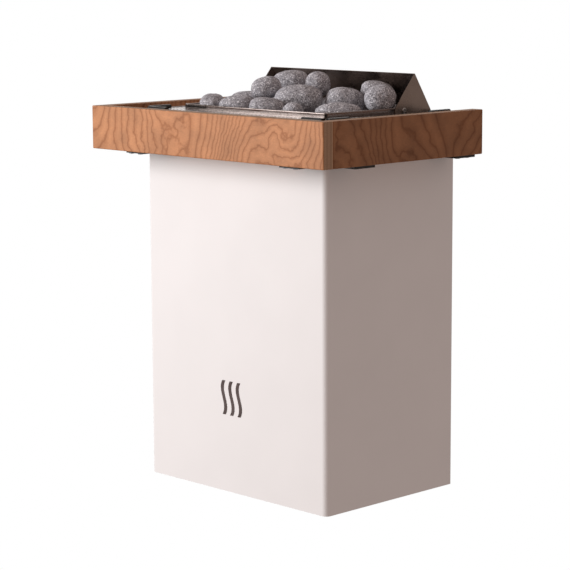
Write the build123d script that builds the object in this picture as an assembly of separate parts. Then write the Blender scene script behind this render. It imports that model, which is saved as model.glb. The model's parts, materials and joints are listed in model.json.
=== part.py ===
from build123d import *
import math
import os

import numpy as np

os.makedirs("parts", exist_ok=True)

# A wall-hung electric sauna heater: a steel casing with a stone chamber in it,
# heating elements among the stones, and a plywood safety rail round the top.
# Millimetres.  X runs to the right, Y towards the wall, Z up.  The origin is on
# the wall plane, in the middle of the wall bracket's screw pattern.

# ---------------------------------------------------------------- casing
casing_width = 400.0
casing_depth = 282.0
casing_height = 592.0
casing_sheet = 1.2
casing_corner = 9.0          # outside radius of the two front folds
casing_back_flange = 36.0    # flange folded in along each back edge
casing_hem = 12.0            # flange folded in round the open bottom
hem_back_gap = 1.0           # from the hem's end to the back flanges
wall_gap = 20.0              # from the wall to the back of the casing

# ---------------------------------------------------------------- wall bracket
bracket_height = 430.0       # screw pattern above the casing's bottom edge
bracket_width = 270.0
bracket_tall = 78.0
bracket_sheet = 2.5
bracket_hole_radius = 3.25
bracket_hole_spacing_x = 230.0
bracket_hole_spacing_z = 46.0
hook_width = 30.0
hook_spacing = 150.0
hook_rise = 16.0             # how far the hooks stand up in front of the panel
hook_clearance = 0.6
hook_slot_drop = 20.0        # hook slots' top edge below the bracket's
hook_side_play = 2.0
hook_top_play = 3.0
hook_bend_gap = 0.5

# ---------------------------------------------------------------- back panel, jacket, base
panel_sheet = 1.0
panel_top_drop = 34.0        # back panel's top edge below the casing's
panel_bottom_rise = 6.0
flange_screw_low = 40.0      # lowest flange screw above the bottom edge
flange_screw_high = 30.0     # highest one below the panel's top edge
base_screw_half = 120.0      # outer base screws from the middle
spacer_height = 40.0         # wall spacers above the bottom edge
spacer_radius = 12.0
spacer_edge = 2.0
spacer_hole = 2.2
spacer_inset = 30.0          # in from the casing's back flange
jacket_air_gap = 7.0         # casing to the rim of the top plate
jacket_sheet = 0.8
jacket_corner = 5.0
jacket_bottom_rise = 18.0
base_height = 130.0          # base plate's top above the casing's bottom edge
base_sheet = 2.0
base_flange = 22.0
vent_margin = 14.0           # vent slots in from the chamber's side
vent_box_gap = 3.0           # and out from the connection box
vent_end_margin = 30.0
vent_half_length = 9.0
vent_count = 5

# ---------------------------------------------------------------- top plate, collar, stone chamber
top_plate_drop = 2.0         # its top face below the casing's top edge
top_plate_sheet = 1.0
top_plate_rim = 12.0
collar_inset = 41.6          # collar's outer face in from the casing's side
collar_setback = 42.8        # collar's outer face back from the casing's front
collar_rise = 7.3            # its rolled edge above the casing's top edge
collar_sheet = 1.2
collar_corner = 5.0
collar_bead = 1.4            # radius of the rolled top edge
collar_skirt = 30.0          # how far it goes down round the chamber
collar_notch = 6.0           # cut at its back ends, under the deflector
chamber_back_margin = 10.5   # chamber's back wall to the casing's back
chamber_sheet = 1.0
chamber_corner = 8.0
seat_clearance = 0.3         # between sheets that slip over each other

# ---------------------------------------------------------------- deflector
deflector_sheet = 1.2
deflector_rise = 58.0        # top edge above the casing's top edge
deflector_lean = 36.8        # how far the top edge leans forward
deflector_cheek = 80.0       # length of each cheek along the collar
deflector_cheek_toe = 8.0    # height of the cheek's front end
deflector_toe_radius = 1.5
deflector_foot = 26.0
rivet_radius = 2.0
rivet_head_radius = 4.2
rivet_head_height = 1.8
rivet_setback = 20.0         # rivet behind the cheek's front end
rivet_lift = 4.8             # rivet above the top plate
back_rivet_share = 0.6       # back rivets' place along the collar and down the foot
deflector_fold_radius = 3.0
deflector_side_notch = 20.0  # foot's ends in from the chamber's sides

# ---------------------------------------------------------------- grate and elements
grate_height = 70.0          # grate's top above the base plate
grate_sheet = 2.0
grate_slot = 10.0
grate_slot_pitch = 18.0
grate_slot_margin = 14.0     # slots' ends in from the grate's edges
element_count = 3
element_spacing = 78.0
element_radius = 4.1
element_leg_spacing = 120.0
element_bend = 30.0
element_top_drop = 62.0      # top of the elements below the casing's top edge
bushing_radius = 6.5
bushing_below = 12.0
bushing_above = 10.0
nut_across_flats = 19.0
nut_height = 5.0
terminal_pin_radius = 2.0
terminal_pin_length = 16.0

# ---------------------------------------------------------------- connection box
connection_width = 230.0
connection_depth = 170.0
connection_tall = 78.0
connection_sheet = 1.0
connection_post = 14.0       # side and height of the corner posts
connection_cover_corner = 4.0
cover_screw_inset = 8.0
block_length = 96.0
block_width = 24.0
block_height = 20.0
block_ways = 6
block_screw_radius = 1.8
block_screw_inset = 6.0
block_screw_reach = 3.0      # screw's end above the base plate
block_screw_head_radius = 3.2
block_screw_head = 2.0
block_corner = 2.0
block_well_inset = 12.0      # outer wells in from the block's ends
block_well_depth = 8.0
block_clamp_offset = 7.0     # clamp screw's dimple from the well's axis
block_clamp_radius = 2.5
block_clamp_depth = 3.0
lead_end_gap = 0.5           # lead's end short of its well's bottom
lead_radius = 1.5
lead_drop = 16.0
lead_bend = 7.0
gland_thread_radius = 12.5
gland_bore_radius = 7.0
gland_hex = 33.0
gland_flange_length = 6.0
gland_cap_length = 18.0
gland_thread_length = 12.0
gland_nut_length = 5.0
gland_thread_past = 2.0      # thread past the locknut
gland_step = 1.5             # outer thread's radius less the cap's
gland_cap_gap = 0.5
gland_cap_dome = 6.0
gland_offset = 62.0          # gland's axis right of the box's middle
earth_stud_radius = 3.0
earth_stud_length = 22.0
earth_stud_rise = 6.0        # its top above the base plate's underside
earth_stud_inset = (18.0, 20.0)   # in from the connection box's left side and back
earth_nut_flats = 10.0
earth_nut_height = 4.0
earth_nut_pitch = 5.0

# ---------------------------------------------------------------- screws
sheet_screw_radius = 1.7
sheet_screw_head_radius = 3.4
sheet_screw_head = 2.0
sheet_screw_length = 9.0
screw_play = 0.05

# ---------------------------------------------------------------- safety rail
board_thickness = 21.0
board_height = 68.1
rail_front_gap = 43.1        # casing front to the front board's inner face
rail_side_gap = 37.1         # casing side to a side board's inner face
rail_rise = 5.3              # rail's top edge above the casing's
board_edge = 1.5
dowel_radius = 4.0
dowel_length = 40.0
strap_width = 42.0
strap_sheet = 4.0
strap_hook = 14.0
strap_play = 0.3
strap_bend = 5.0
strap_corner_gap = 6.0       # strap's edge to the casing's corner, at the front
strap_back_gap = 12.0        # the same at the back
strap_arm_margin = 5.0       # board's outer face to the arm's end
strap_front_arm_margin = 16.0
rail_screw_radius = 2.0
rail_screw_length = 22.0
rail_screw_head_radius = 4.0
rail_screw_head = 1.2
dowel_inset = 18.0           # dowels in from the rail's top and bottom

# ---------------------------------------------------------------- front emblem
emblem_height = 54.0
emblem_stroke = 6.5
emblem_pitch = 17.0
emblem_sway = 3.5
emblem_sheet = 0.5
emblem_offset = -7.0         # its middle, right of the casing's middle
emblem_centre_height = 150.0

# ---------------------------------------------------------------- stones
stone_gap = 0.45             # left between stones where they touch
stone_layers = 6             # packed round the elements, below the heap
heap_depth = 8.0             # left for the heap below the casing's top edge
cell_rows = 3

# ---------------------------------------------------------------- derived levels
half_width = casing_width / 2
back = -wall_gap
front = back - casing_depth
bottom = -bracket_height
top = bottom + casing_height
inner_back = back - casing_sheet
panel_front = inner_back - panel_sheet
base_top = bottom + base_height
base_under = base_top - base_sheet
top_plate_top = top - top_plate_drop
top_plate_under = top_plate_top - top_plate_sheet
rim_half = half_width - casing_sheet - jacket_air_gap
rim_front = front + casing_sheet + jacket_air_gap
jacket_half = rim_half - top_plate_sheet - seat_clearance
jacket_front = rim_front + top_plate_sheet + seat_clearance
collar_half = half_width - collar_inset
collar_front = front + collar_setback
collar_top = top + collar_rise
chamber_half = collar_half - collar_sheet - seat_clearance
chamber_front = collar_front + collar_sheet + seat_clearance
chamber_back = back - chamber_back_margin
chamber_middle = (chamber_front + chamber_back) / 2
deflector_knee = top + 1.0
deflector_slope = deflector_lean / (top + deflector_rise - deflector_knee)
rail_top = top + rail_rise
rail_bottom = rail_top - board_height
rail_half = half_width + rail_side_gap + board_thickness
rail_front = front - rail_front_gap - board_thickness

nodes = {}


def block(x, y, z):
    """A box between pairs of low and high coordinates."""
    size = [high - low for low, high in (x, y, z)]
    return Pos(x[0], y[0], z[0]) * Box(*size, align=(Align.MIN,) * 3)


def folded(path, radii, sheet):
    """The section of a folded sheet, which lies to the left of a path."""
    points = [Vector(*point) for point in path]
    ways = [(after - before).normalized() for before, after in zip(points, points[1:])]
    normals = [Vector(-way.Y, way.X) for way in ways]
    inner = [points[0] + normals[0] * sheet]
    inner_radii = []
    for index, radius in enumerate(radii, start=1):
        before, after = normals[index - 1], normals[index]
        inner.append(points[index] + (before + after) * (sheet / (1 + before.dot(after))))
        turns_left = ways[index - 1].cross(ways[index]).Z > 0
        inner_radii.append(radius - sheet if turns_left else radius + sheet)
    inner.append(points[-1] + normals[-1] * sheet)
    corners = [0, *radii, 0, 0, *reversed(inner_radii), 0]
    return make_face(FilletPolyline(*points, *reversed(inner), radius=corners, close=True))


def rod(start, direction, radius, length):
    """A round bar from a point along a direction."""
    return extrude(Plane(origin=start, z_dir=direction) * Circle(radius), length)


def hexagon(start, direction, across_flats, length, bore):
    """A hexagonal nut with a plain bore."""
    plane = Plane(origin=start, z_dir=direction)
    outline = RegularPolygon(across_flats / 2, 6, major_radius=False)
    return extrude(plane * (outline - Circle(bore)), length)


def pan_screw(start, direction, radius, length, head_radius, head):
    """A screw that points along a direction, with its head behind the start."""
    away = [-value for value in direction]
    cap = rod(start, away, head_radius, head)
    rim = cap.faces().sort_by(Axis(start, away))[-1].edges()
    return rod(start, direction, radius, length) + fillet(rim, head * 0.6)


# ---------------------------------------------------------------- wall bracket
hook_slot_top = bracket_tall / 2 - hook_slot_drop
hook_reach = wall_gap + casing_sheet + panel_sheet + hook_clearance


def wall_bracket():
    """Folded plate with two hooks that carry the heater's back panel."""
    plate = block((-bracket_width / 2, bracket_width / 2), (-bracket_sheet, 0),
                  (-bracket_tall / 2, bracket_tall / 2))
    for side in (-1, 1):
        for level in (-1, 1):
            hole = (side * bracket_hole_spacing_x / 2, 0, level * bracket_hole_spacing_z / 2)
            plate -= rod(hole, (0, -1, 0), bracket_hole_radius, bracket_sheet)
        path = [(-hook_reach - bracket_sheet, hook_slot_top + hook_rise),
                (-hook_reach - bracket_sheet, hook_slot_top - bracket_sheet),
                (-bracket_sheet, hook_slot_top - bracket_sheet)]
        section = folded(path, [bracket_sheet + hook_bend_gap], bracket_sheet)
        hook = extrude(Plane.YZ * section, hook_width / 2, both=True)
        plate += Pos(side * hook_spacing / 2, 0, 0) * hook
    return plate


nodes["wall_bracket"] = wall_bracket()


# ---------------------------------------------------------------- back panel
def spots(span, count):
    """Evenly spaced values across a span."""
    low, high = span
    return [low + (high - low) * index / (count - 1) for index in range(count)]


flange_screw_x = half_width - casing_back_flange / 2
flange_screw_z = spots((bottom + flange_screw_low, top - panel_top_drop - flange_screw_high), 3)
base_screw_x = spots((-base_screw_half, base_screw_half), 3)
base_screw_z = base_under - base_flange / 2
panel_screws = []
for level in flange_screw_z:
    panel_screws += [(-flange_screw_x, level), (flange_screw_x, level)]
base_screws = [(across, base_screw_z) for across in base_screw_x]
panel_half = half_width - 2 * casing_sheet - seat_clearance
slot_half_width = hook_width / 2 + hook_side_play
slot_drop = hook_rise + 2 * bracket_sheet + hook_top_play


def back_panel():
    """Sheet that closes the back and hangs on the bracket's hooks."""
    sheet = block((-panel_half, panel_half), (panel_front, inner_back),
                  (bottom + panel_bottom_rise, top - panel_top_drop))
    for side in (-1, 1):
        middle = side * hook_spacing / 2
        sheet -= block((middle - slot_half_width, middle + slot_half_width),
                       (panel_front, inner_back), (hook_slot_top - slot_drop, hook_slot_top))
    for across, level in panel_screws + base_screws:
        hole = (across, panel_front, level)
        sheet -= rod(hole, (0, 1, 0), sheet_screw_radius + screw_play, panel_sheet)
    return sheet


nodes["back_panel"] = back_panel()

spacer_x = half_width - casing_back_flange - spacer_inset


def wall_spacer(side):
    """Foot that keeps the lower end of the heater off the wall."""
    middle = (side * spacer_x, inner_back, bottom + spacer_height)
    foot = rod(middle, (0, 1, 0), spacer_radius, wall_gap + casing_sheet)
    rim = foot.faces().sort_by(Axis.Y)[-1].edges()
    return fillet(rim, spacer_edge) - rod(middle, (0, 1, 0), spacer_hole, wall_gap / 2)


nodes["wall_spacers"] = Compound([wall_spacer(-1), wall_spacer(1)])


# ---------------------------------------------------------------- outer casing
def outer_casing():
    """One sheet folded round the front, the sides and the back flanges."""
    inset = half_width - casing_back_flange
    outline = [(-inset, back), (-half_width, back), (-half_width, front),
               (half_width, front), (half_width, back), (inset, back)]
    fold = 2 * casing_sheet
    section = folded(outline, [fold, casing_corner, casing_corner, fold], casing_sheet)
    shell = extrude(Pos(0, 0, bottom) * section, casing_height)
    reach = casing_sheet + casing_hem
    floor = block((-half_width + casing_sheet / 2, half_width - casing_sheet / 2),
                  (front + casing_sheet / 2, inner_back - hem_back_gap), (bottom, bottom + casing_sheet))
    corners = floor.edges().filter_by(Axis.Z).group_by(Axis.Y)[0]
    floor = fillet(corners, casing_corner - casing_sheet / 2)
    floor -= block((-half_width + reach, half_width - reach), (front + reach, back),
                   (bottom, bottom + casing_sheet))
    shell += floor
    for across, level in panel_screws:
        hole = (across, inner_back, level)
        shell -= rod(hole, (0, 1, 0), sheet_screw_radius + screw_play, casing_sheet)
    return shell


nodes["outer_casing"] = outer_casing()


# ---------------------------------------------------------------- inner jacket and base plate
def inner_jacket():
    """Heat shield that stands inside the casing with an air gap all round."""
    end = panel_front - seat_clearance
    outline = [(-jacket_half, end), (-jacket_half, jacket_front),
               (jacket_half, jacket_front), (jacket_half, end)]
    section = folded(outline, [jacket_corner] * 2, jacket_sheet)
    low = bottom + jacket_bottom_rise
    return extrude(Pos(0, 0, low) * section, top_plate_under - low)


nodes["inner_jacket"] = inner_jacket()

element_x = [element_spacing * (index - (element_count - 1) / 2) for index in range(element_count)]
leg_y = [chamber_middle - element_leg_spacing / 2, chamber_middle + element_leg_spacing / 2]
legs = [(across, along) for across in element_x for along in leg_y]
base_half = jacket_half - jacket_sheet - seat_clearance
base_front = jacket_front + jacket_sheet + seat_clearance
connection_front = chamber_middle - connection_depth / 2
connection_back = chamber_middle + connection_depth / 2
connection_bottom = base_under - connection_tall
vent_half = chamber_half - vent_margin
block_screw_x = block_length / 2 - block_screw_inset
block_pitch = (block_length - 2 * block_well_inset) / (block_ways - 1)
earth_stud_at = (-connection_width / 2 + earth_stud_inset[0], connection_back - earth_stud_inset[1])


def base_plate():
    """Plate that carries the elements and the stones, with folded edges."""
    low = base_under - base_flange
    plate = block((-base_half, base_half), (base_front, panel_front), (low, base_top))
    corners = plate.edges().filter_by(Axis.Z).group_by(Axis.Y)[0]
    plate = fillet(corners, jacket_corner)
    plate -= block((-base_half + base_sheet, base_half - base_sheet),
                   (base_front + base_sheet, panel_front - base_sheet), (low, base_under))
    for across, along in legs:
        plate -= rod((across, along, base_under), (0, 0, 1), bushing_radius + screw_play, base_sheet)
    for side in (-1, 1):
        slot = side * (connection_width / 2 + vent_half) / 2
        slot_half = (vent_half - connection_width / 2) / 2 - vent_box_gap
        ends = (chamber_front + vent_end_margin, chamber_back - vent_end_margin)
        for along in spots(ends, vent_count):
            plate -= block((slot - slot_half, slot + slot_half),
                           (along - vent_half_length, along + vent_half_length),
                           (base_under, base_top))
        plate -= rod((side * block_screw_x, chamber_middle, base_under), (0, 0, 1),
                     block_screw_radius + screw_play, base_sheet)
    plate -= rod((*earth_stud_at, base_under), (0, 0, 1), earth_stud_radius + screw_play, base_sheet)
    for across, level in base_screws:
        plate -= rod((across, panel_front - base_sheet, level), (0, 1, 0),
                     sheet_screw_radius + screw_play, base_sheet)
    return plate


nodes["base_plate"] = base_plate()
nodes["back_screws"] = Compound([
    pan_screw((across, face, level), (0, -1, 0), sheet_screw_radius, sheet_screw_length,
              sheet_screw_head_radius, sheet_screw_head)
    for face, places in ((back, panel_screws), (inner_back, base_screws))
    for across, level in places])


# ---------------------------------------------------------------- stone chamber
def stone_chamber():
    """Four-walled sleeve that holds the stones, standing on the base plate."""
    length = chamber_back - chamber_front
    outer = RectangleRounded(2 * chamber_half, length, chamber_corner)
    inner = RectangleRounded(2 * (chamber_half - chamber_sheet), length - 2 * chamber_sheet,
                             chamber_corner - chamber_sheet)
    section = Pos(0, chamber_middle, base_top) * (outer - inner)
    return extrude(section, top_plate_under - base_top)


chamber = stone_chamber()

rivet_y = chamber_back - deflector_cheek + rivet_setback
rivet_z = top_plate_top + rivet_lift
back_rivet_x = collar_half * back_rivet_share
back_rivet_z = top_plate_under - deflector_foot * back_rivet_share
for side in (-1, 1):
    chamber -= rod((side * back_rivet_x, chamber_back - chamber_sheet, back_rivet_z), (0, 1, 0),
                   rivet_radius + screw_play, chamber_sheet)
nodes["stone_chamber"] = chamber


def stone_collar():
    """Strip round the chamber's mouth with a rolled top edge."""
    outline = [(-collar_half, chamber_back), (-collar_half, collar_front),
               (collar_half, collar_front), (collar_half, chamber_back)]
    low = top_plate_under - collar_skirt
    section = folded(outline, [collar_corner] * 2, collar_sheet)
    height = collar_top - collar_bead
    strip = extrude(Pos(0, 0, low) * section, height - low)
    bead_half = collar_half - collar_bead
    bead_front = collar_front + collar_bead
    bead_end = chamber_back - deflector_cheek
    line = FilletPolyline((-bead_half, bead_end), (-bead_half, bead_front),
                          (bead_half, bead_front), (bead_half, bead_end),
                          radius=collar_corner - collar_bead)
    line = Pos(0, 0, height) * line
    bead = sweep(Plane(origin=line @ 0, z_dir=line % 0) * Circle(collar_bead), path=line)
    strip += bead
    strip -= block((-half_width, half_width), (chamber_back - collar_notch, back),
                   (top_plate_top, collar_top))
    for side in (-1, 1):
        strip -= rod((side * collar_half, rivet_y, rivet_z), (-side, 0, 0),
                     rivet_radius + screw_play, collar_sheet)
    return strip


nodes["stone_collar"] = stone_collar()


# ---------------------------------------------------------------- top plate
def top_plate():
    """Plate between the collar and the air gap, open at the back."""
    plate = block((-rim_half, rim_half), (rim_front, panel_front - seat_clearance),
                  (top_plate_top - top_plate_rim, top_plate_top))
    corners = plate.edges().filter_by(Axis.Z).group_by(Axis.Y)[0]
    plate = fillet(corners, jacket_corner + top_plate_sheet)
    hollow = block((-rim_half + top_plate_sheet, rim_half - top_plate_sheet),
                   (rim_front + top_plate_sheet, back), (top_plate_top - top_plate_rim, top_plate_under))
    corners = hollow.edges().filter_by(Axis.Z).group_by(Axis.Y)[0]
    plate -= fillet(corners, jacket_corner)
    mouth = block((-collar_half - seat_clearance, collar_half + seat_clearance),
                  (collar_front - seat_clearance, back), (top_plate_under, top_plate_top))
    corners = mouth.edges().filter_by(Axis.Z).group_by(Axis.Y)[0]
    return plate - fillet(corners, collar_corner + seat_clearance)


nodes["top_plate"] = top_plate()


# ---------------------------------------------------------------- deflector
def heat_deflector():
    """Folded sheet that leans over the stones from the back, with two cheeks."""
    foot_face = chamber_back + seat_clearance + deflector_sheet
    crown = (foot_face - deflector_lean, top + deflector_rise)
    path = [(foot_face, top_plate_under - deflector_foot), (foot_face, deflector_knee), crown]
    section = folded(path, [deflector_fold_radius], deflector_sheet)
    sheet = extrude(Plane.YZ * section, collar_half + deflector_sheet, both=True)
    foot_half = chamber_half - deflector_side_notch
    sheet -= block((-half_width, half_width), (foot_face - 2 * deflector_sheet, foot_face + 1),
                   (bottom, top_plate_top)) - block((-foot_half, foot_half),
                                                    (front, back), (bottom, top))
    toe = chamber_back - deflector_cheek
    cheek = make_face(Polyline((toe, top_plate_top), (toe, top_plate_top + deflector_cheek_toe),
                               crown, (foot_face, deflector_knee), (foot_face, top_plate_top), close=True))
    corners = cheek.vertices().sort_by(Axis.X)
    cheek = fillet([corners[0], corners[1]], deflector_toe_radius)
    for side in (-1, 1):
        low = side * collar_half if side > 0 else -collar_half - deflector_sheet
        plate = extrude(Plane(origin=(low, 0, 0), x_dir=(0, 1, 0), z_dir=(1, 0, 0)) * cheek,
                        deflector_sheet)
        sheet += plate
        sheet -= rod((side * (collar_half + deflector_sheet), rivet_y, rivet_z), (-side, 0, 0),
                     rivet_radius + screw_play, deflector_sheet)
        sheet -= rod((side * back_rivet_x, chamber_back, back_rivet_z), (0, 1, 0),
                     rivet_radius + screw_play, 2 * deflector_sheet)
    return sheet


nodes["heat_deflector"] = heat_deflector()
rivets = []
for side in (-1, 1):
    rivets.append(pan_screw((side * (collar_half + deflector_sheet), rivet_y, rivet_z), (-side, 0, 0),
                            rivet_radius, deflector_sheet + collar_sheet, rivet_head_radius,
                            rivet_head_height))
    rivets.append(pan_screw((side * back_rivet_x, chamber_back + seat_clearance + deflector_sheet,
                             back_rivet_z), (0, -1, 0), rivet_radius,
                            deflector_sheet + seat_clearance + chamber_sheet, rivet_head_radius,
                            rivet_head_height))
nodes["deflector_rivets"] = Compound(rivets)


# ---------------------------------------------------------------- stone grate
def stone_grate():
    """Slotted shelf on two folded skirts, which keeps the stones off the base."""
    half = chamber_half - chamber_sheet - seat_clearance
    low = chamber_front + chamber_sheet + seat_clearance
    high = chamber_back - chamber_sheet - seat_clearance
    level = base_top + grate_height
    shelf = block((-half, half), (low, high), (base_top, level))
    corners = shelf.edges().filter_by(Axis.Z)
    shelf = fillet(corners, chamber_corner)
    shelf -= block((-half + grate_sheet, half - grate_sheet), (front, back),
                   (base_top, level - grate_sheet))
    count = int((2 * half - 2 * grate_slot_margin) / grate_slot_pitch)
    for index in range(count):
        across = grate_slot_pitch * (index - (count - 1) / 2)
        slot = block((across - grate_slot / 2, across + grate_slot / 2),
                     (low + grate_slot_margin, high - grate_slot_margin),
                     (level - grate_sheet, level))
        if all(abs(across - place) > grate_slot + element_radius for place in element_x):
            shelf -= slot
    for across, along in legs:
        shelf -= rod((across, along, level - grate_sheet), (0, 0, 1), bushing_radius, grate_sheet)
    return shelf


nodes["stone_grate"] = stone_grate()


# ---------------------------------------------------------------- heating elements
element_top = top - element_top_drop


def heating_element(across):
    """Hairpin tube with a threaded bushing and a terminal pin on each leg."""
    low = base_under - bushing_below
    path = FilletPolyline((across, leg_y[0], low), (across, leg_y[0], element_top),
                          (across, leg_y[1], element_top), (across, leg_y[1], low),
                          radius=element_bend)
    tube = sweep(Plane(origin=path @ 0, z_dir=path % 0) * Circle(element_radius), path=path)
    for along in leg_y:
        tube += rod((across, along, low), (0, 0, 1), bushing_radius,
                    bushing_below + base_sheet + bushing_above)
        tube += rod((across, along, low), (0, 0, -1), terminal_pin_radius, terminal_pin_length)
    return tube


for number, across in enumerate(element_x, start=1):
    nodes[f"heating_element_{number}"] = heating_element(across)

element_nuts = []
for across, along in legs:
    element_nuts.append(hexagon((across, along, base_top), (0, 0, 1), nut_across_flats, nut_height,
                                bushing_radius + screw_play))
    element_nuts.append(hexagon((across, along, base_under), (0, 0, -1), nut_across_flats, nut_height,
                                bushing_radius + screw_play))
nodes["element_nuts"] = Compound(element_nuts)


# ---------------------------------------------------------------- connection box
cover_screw_x = connection_width / 2 - cover_screw_inset
cover_screw_y = [connection_front + cover_screw_inset, connection_back - cover_screw_inset]
cover_under = connection_bottom - connection_sheet


def connection_box():
    """Open-bottomed box under the base plate, with four corner posts for screws."""
    x = (-connection_width / 2, connection_width / 2)
    y = (connection_front, connection_back)
    box = block(x, y, (connection_bottom, base_under))
    box -= block((x[0] + connection_sheet, x[1] - connection_sheet),
                 (y[0] + connection_sheet, y[1] - connection_sheet), (connection_bottom, base_under))
    for across in (-cover_screw_x, cover_screw_x):
        for along in cover_screw_y:
            post = block((across - connection_post / 2, across + connection_post / 2),
                         (along - connection_post / 2, along + connection_post / 2),
                         (connection_bottom, connection_bottom + connection_post))
            box += post - rod((across, along, connection_bottom), (0, 0, 1),
                              sheet_screw_radius + screw_play, connection_post)
    return box


nodes["connection_box"] = connection_box()


def connection_cover():
    """Flat cover under the connection box."""
    x = (-connection_width / 2, connection_width / 2)
    cover = block(x, (connection_front, connection_back),
                  (connection_bottom - connection_sheet, connection_bottom))
    cover = fillet(cover.edges().filter_by(Axis.Z), connection_cover_corner)
    for across in (-cover_screw_x, cover_screw_x):
        for along in cover_screw_y:
            cover -= rod((across, along, connection_bottom), (0, 0, -1),
                         sheet_screw_radius + screw_play, connection_sheet)
    return cover - rod((gland_offset, chamber_middle, connection_bottom), (0, 0, -1),
                       gland_thread_radius + screw_play, connection_sheet)


nodes["connection_cover"] = connection_cover()
nodes["cover_screws"] = Compound([
    pan_screw((across, along, connection_bottom - connection_sheet), (0, 0, 1), sheet_screw_radius,
              sheet_screw_length, sheet_screw_head_radius, sheet_screw_head)
    for across in (-cover_screw_x, cover_screw_x) for along in cover_screw_y])

block_under = base_under - block_height
way_x = [block_pitch * (index - (block_ways - 1) / 2) for index in range(block_ways)]


def terminal_block():
    """Ceramic block with a row of terminal wells."""
    body = block((-block_length / 2, block_length / 2),
                 (chamber_middle - block_width / 2, chamber_middle + block_width / 2),
                 (block_under, base_under))
    body = fillet(body.edges().filter_by(Axis.Z), block_corner)
    for across in way_x:
        body -= rod((across, chamber_middle, block_under), (0, 0, 1), lead_radius + screw_play,
                    block_well_depth)
        for side in (-1, 1):
            clamp = (across, chamber_middle + side * block_clamp_offset, block_under)
            body -= rod(clamp, (0, 0, 1), block_clamp_radius, block_clamp_depth)
    for side in (-1, 1):
        body -= rod((side * block_screw_x, chamber_middle, block_under), (0, 0, 1),
                    block_screw_radius + screw_play, block_height)
    return body


nodes["terminal_block"] = terminal_block()
nodes["terminal_block_screws"] = Compound([
    pan_screw((side * block_screw_x, chamber_middle, block_under), (0, 0, 1), block_screw_radius,
              block_height + base_sheet + block_screw_reach, block_screw_head_radius,
              block_screw_head) for side in (-1, 1)])


def element_lead(leg, way):
    """Insulated wire from a terminal pin down and across to the block."""
    start = base_under - bushing_below - terminal_pin_length
    level = start - lead_drop
    path = FilletPolyline((*leg, start), (*leg, level), (way, chamber_middle, level),
                          (way, chamber_middle, block_under + block_well_depth - lead_end_gap),
                          radius=lead_bend)
    return sweep(Plane(origin=path @ 0, z_dir=path % 0) * Circle(lead_radius), path=path)


nodes["element_leads"] = Compound([element_lead(leg, way) for leg, way in zip(legs, way_x)])


# ---------------------------------------------------------------- cable gland and earth stud
gland_axis = (gland_offset, chamber_middle)
gland_inside = gland_nut_length + gland_thread_past


def gland_body():
    """Threaded gland through the connection box's cover, pointing down."""
    start = (*gland_axis, connection_bottom + gland_inside)
    face = (*gland_axis, cover_under)
    body = rod(start, (0, 0, -1), gland_thread_radius, gland_inside + connection_sheet)
    body += hexagon(face, (0, 0, -1), gland_hex, gland_flange_length, gland_bore_radius)
    body += rod((*gland_axis, cover_under - gland_flange_length), (0, 0, -1),
                gland_thread_radius - gland_step, gland_thread_length)
    length = gland_inside + connection_sheet + gland_flange_length + gland_thread_length
    return body - rod(start, (0, 0, -1), gland_bore_radius, length)


def gland_cap():
    """Domed cap nut that clamps the supply cable."""
    start = (*gland_axis, cover_under - gland_flange_length - gland_cap_gap)
    cap = hexagon(start, (0, 0, -1), gland_hex - 2.0, gland_cap_length, gland_bore_radius)
    dome = rod(start, (0, 0, -1), gland_hex / 2 + 2.0, gland_cap_length)
    rim = dome.faces().sort_by(Axis.Z)[0].edges()
    cap &= fillet(rim, gland_cap_dome)
    return cap - rod(start, (0, 0, -1), gland_thread_radius - gland_step + screw_play,
                     gland_thread_length)


nodes["gland_body"] = gland_body()
nodes["gland_cap"] = gland_cap()
nodes["gland_locknut"] = hexagon((*gland_axis, connection_bottom), (0, 0, 1), gland_hex,
                                 gland_nut_length, gland_thread_radius + screw_play)
earth_start = (*earth_stud_at, base_under - earth_stud_length + earth_stud_rise)
nodes["earth_stud"] = rod(earth_start, (0, 0, 1), earth_stud_radius, earth_stud_length)
nodes["earth_nuts"] = Compound([
    hexagon((*earth_stud_at, base_under - drop), (0, 0, -1), earth_nut_flats, earth_nut_height,
            earth_stud_radius + screw_play) for drop in (0, earth_nut_pitch)])


# ---------------------------------------------------------------- safety rail
strap_side_y = {"front": front + strap_corner_gap + strap_width / 2,
                "rear": back - strap_back_gap - strap_width / 2}
strap_front_x = half_width - strap_corner_gap - strap_width / 2
straps = {}
for hand, side in (("left", -1), ("right", 1)):
    straps[f"strap_front_{hand}"] = ((side * strap_front_x, front), (0, -1))
    for end in ("front", "rear"):
        straps[f"strap_{hand}_{end}"] = ((side * half_width, strap_side_y[end]), (side, 0))


def strap_arm(outward):
    """Length of a strap's arm out from the casing, under its board."""
    if outward[0]:
        return rail_side_gap + board_thickness - strap_arm_margin
    return rail_front_gap + board_thickness - strap_front_arm_margin


def screw_places(name):
    """Where a strap's two wood screws go up into its board."""
    (x, y), (out_x, out_y) = straps[name]
    gap = rail_side_gap if out_x else rail_front_gap
    reach = (gap + strap_arm((out_x, out_y))) / 2
    places = []
    for shift in (-strap_width / 4, strap_width / 4):
        places.append((x + out_x * reach + abs(out_y) * shift, y + out_y * reach + abs(out_x) * shift))
    return places


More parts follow.
